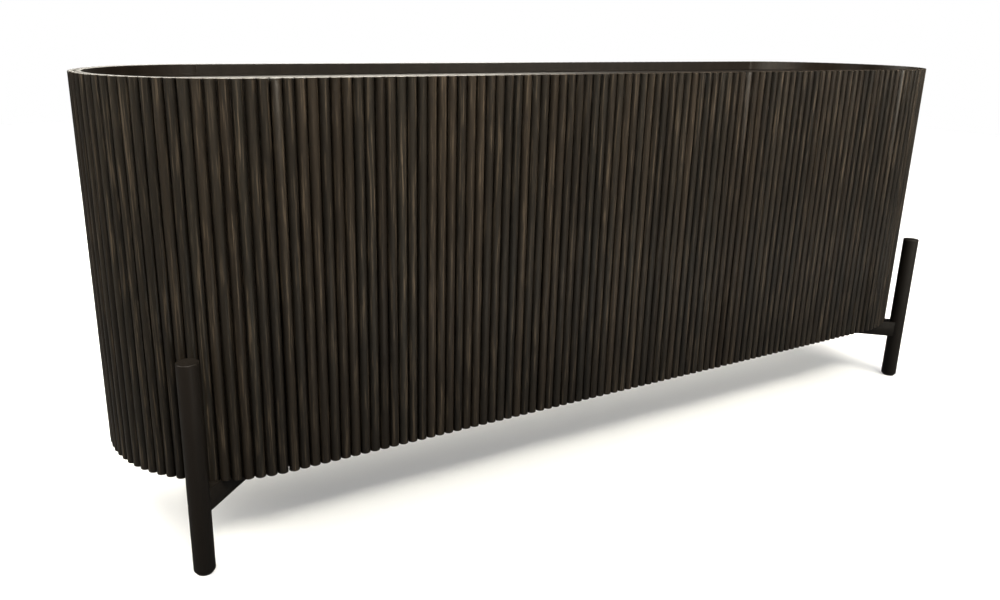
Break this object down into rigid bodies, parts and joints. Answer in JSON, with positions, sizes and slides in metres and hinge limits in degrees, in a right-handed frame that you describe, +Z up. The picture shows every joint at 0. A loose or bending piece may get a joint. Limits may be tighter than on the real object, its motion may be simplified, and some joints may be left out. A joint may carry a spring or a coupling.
{
  "type": "sideboard buffet",
  "caption": "Long sideboard with round ends, a reeded skin of half-round slats, push-to-open doors, a sunk tray top and round legs standing outside the body.",
  "frame": {"origin": "centre of the footprint, on the floor", "axes": "+X along the front towards the right end, +Y towards the back, +Z up; the doors face -Y"},
  "size_m": [2.0114, 0.505, 0.8],
  "materials": {
    "slat_wood": "dark brown-black stain, satin lacquer, open grain",
    "carcass_wood": "dark stain, satin lacquer",
    "leg_wood": "turned, dark stain, smooth satin lacquer",
    "dowel_wood": "plain, fluted beech",
    "steel": "zinc plated",
    "brass": "turned",
    "black_plastic": "moulded, matt",
    "plunger_plastic": "moulded, satin"
  },
  "bodies": {
    "carcass": {"bottom_board": "carcass_wood", "top_board": "carcass_wood", "tray_front_rail": "carcass_wood", "left_end_wall": "carcass_wood", "right_end_wall": "carcass_wood", "left_end_slats": "slat_wood", "right_end_slats": "slat_wood", "back_panel": "carcass_wood", "back_slats": "slat_wood", "left_divider": "carcass_wood", "right_divider": "carcass_wood", "left_door_post": "carcass_wood", "right_door_post": "carcass_wood", "left_shelf": "carcass_wood", "middle_shelf": "carcass_wood", "right_shelf": "carcass_wood", "shelf_pegs": "steel", "carcass_dowels": "dowel_wood", "hinge_brackets": "steel", "hinge_pins": "steel", "hinge_washers": "brass", "hinge_screws": "steel", "latch_housings": "black_plastic", "latch_screws": "steel", "front_left_leg": "leg_wood", "front_right_leg": "leg_wood", "rear_left_leg": "leg_wood", "rear_right_leg": "leg_wood", "front_left_arm": "leg_wood", "front_right_arm": "leg_wood", "rear_left_arm": "leg_wood", "rear_right_arm": "leg_wood", "leg_studs": "steel", "arm_bolts": "steel", "leg_glides": "black_plastic"},
    "left_door": {"left_door_leaf": "carcass_wood", "left_door_slats": "slat_wood", "left_door_stile": "slat_wood", "left_door_bushes": "brass", "left_door_strike": "steel"},
    "middle_door": {"middle_door_leaf": "carcass_wood", "middle_door_slats": "slat_wood", "middle_door_stile": "slat_wood", "middle_door_bushes": "brass", "middle_door_strike": "steel"},
    "right_door": {"right_door_leaf": "carcass_wood", "right_door_slats": "slat_wood", "right_door_stile": "slat_wood", "right_door_bushes": "brass", "right_door_strike": "steel"},
    "left_latch": {"left_latch_plunger": "plunger_plastic"},
    "middle_latch": {"middle_latch_plunger": "plunger_plastic"},
    "right_latch": {"right_latch_plunger": "plunger_plastic"}
  },
  "joints": [
    {"name": "left_door_hinge", "type": "hinge", "parent": "carcass", "child": "left_door", "pos_m": [-0.74704, -0.2393, 0.151], "axis": [0, 0, -1], "range_deg": [0, 90]},
    {"name": "middle_door_hinge", "type": "hinge", "parent": "carcass", "child": "middle_door", "pos_m": [0.24214, -0.2393, 0.151], "axis": [0, 0, 1], "range_deg": [0, 90]},
    {"name": "right_door_hinge", "type": "hinge", "parent": "carcass", "child": "right_door", "pos_m": [0.74704, -0.2393, 0.151], "axis": [0, 0, 1], "range_deg": [0, 90]},
    {"name": "left_latch_push", "type": "slide", "parent": "carcass", "child": "left_latch", "axis": [0, 1, 0], "range_m": [0, 0.003], "stiffness_N_per_m": 400},
    {"name": "middle_latch_push", "type": "slide", "parent": "carcass", "child": "middle_latch", "axis": [0, 1, 0], "range_m": [0, 0.003], "stiffness_N_per_m": 400},
    {"name": "right_latch_push", "type": "slide", "parent": "carcass", "child": "right_latch", "axis": [0, 1, 0], "range_m": [0, 0.003], "stiffness_N_per_m": 400}
  ]
}
